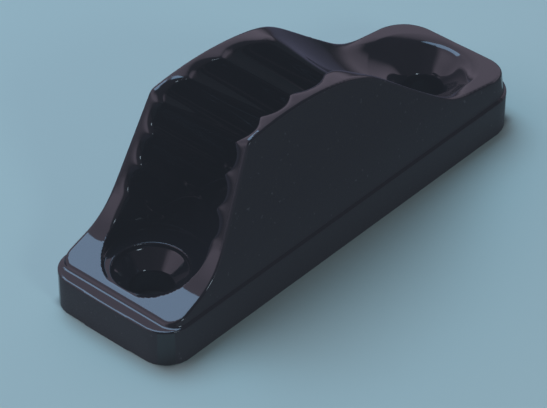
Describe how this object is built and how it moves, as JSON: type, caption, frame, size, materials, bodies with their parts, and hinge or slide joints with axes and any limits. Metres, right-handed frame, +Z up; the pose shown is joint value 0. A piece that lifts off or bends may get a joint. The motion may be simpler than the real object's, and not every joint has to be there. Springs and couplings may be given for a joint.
{
  "type": "jam cleat",
  "caption": "Moulded jam cleat: a fluted V-shaped rope groove between tall cheeks on a flat foot, with a low countersunk screw hole at each end.",
  "frame": {"origin": "middle of the flat deck face, halfway between the two screw holes", "axes": "+X along the cleat from its low entry end to its far end, +Y across it, +Z up from the deck face"},
  "size_m": [0.067, 0.02, 0.024],
  "materials": {
    "black_nylon": "black nylon with finely grained side walls and a polished top and rope groove"
  },
  "bodies": {
    "root": {"cleat_body": "black_nylon"}
  },
  "joints": []
}
